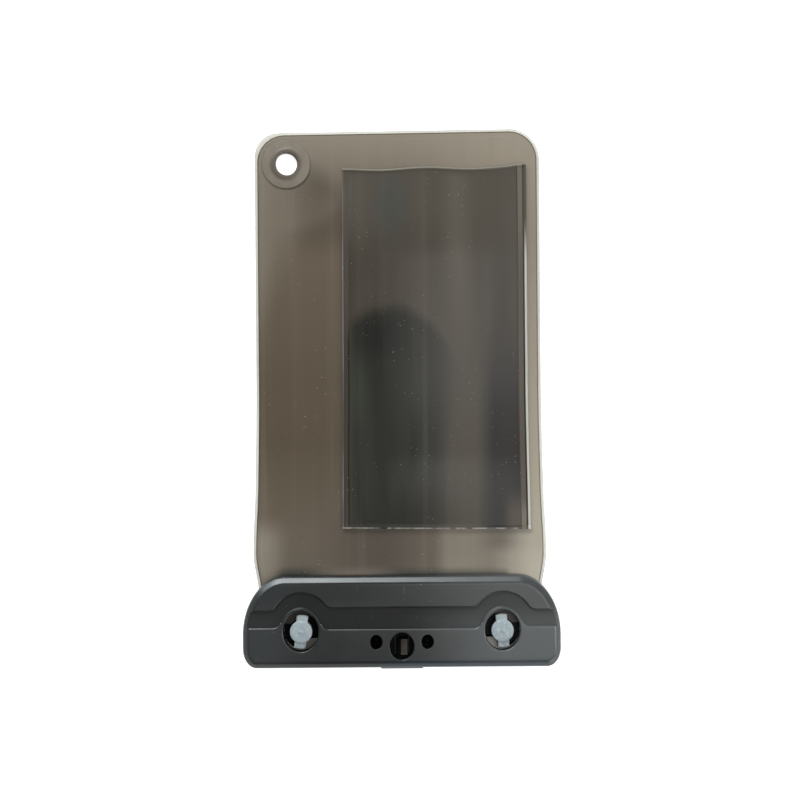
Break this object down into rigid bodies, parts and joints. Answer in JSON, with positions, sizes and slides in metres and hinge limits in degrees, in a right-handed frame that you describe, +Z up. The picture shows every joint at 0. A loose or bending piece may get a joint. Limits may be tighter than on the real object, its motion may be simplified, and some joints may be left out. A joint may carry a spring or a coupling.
{
  "type": "waterproof case",
  "caption": "Smoke film pouch that keeps a phone dry, with a rear pocket, an eyelet in one corner and a clamp across its mouth that is held shut by a snap and quarter-turn locks.",
  "frame": {"origin": "on the surface that the pouch lies on, under the middle of its box", "axes": "+X along the clamp, +Y from the clamp towards the eyelet end, +Z up, out of the pouch's back"},
  "size_m": [0.12, 0.2074, 0.016],
  "materials": {
    "clear_film": "clear soft film, glossy",
    "smoke_film": "smoke-tinted soft film, glossy with fine streaks",
    "black_plastic": "moulded, satin",
    "grey_plastic": "moulded, satin",
    "seal_rubber": "soft moulded rubber",
    "keeper_plastic": "extruded strip",
    "steel": "plated screw"
  },
  "bodies": {
    "pouch": {"front_film": "clear_film", "back_film": "smoke_film", "pocket_film": "smoke_film", "eyelet_disc": "smoke_film", "rear_bar": "black_plastic", "front_bar": "black_plastic", "rear_seal": "seal_rubber", "front_seal": "seal_rubber", "rear_keeper": "keeper_plastic", "front_keeper": "keeper_plastic"},
    "left_lock": {"left_lock_key": "grey_plastic", "left_lock_dial": "grey_plastic", "left_lock_ring": "seal_rubber", "left_lock_screw": "steel"},
    "right_lock": {"right_lock_key": "grey_plastic", "right_lock_dial": "grey_plastic", "right_lock_ring": "seal_rubber", "right_lock_screw": "steel"}
  },
  "joints": [
    {"name": "left_lock_turn", "type": "hinge", "parent": "pouch", "child": "left_lock", "pos_m": [-0.0379, -0.08825, 0.008], "axis": [0, 0, 1], "range_deg": [-85, 5]},
    {"name": "right_lock_turn", "type": "hinge", "parent": "pouch", "child": "right_lock", "pos_m": [0.0379, -0.08825, 0.008], "axis": [0, 0, 1], "range_deg": [-5, 85]}
  ]
}
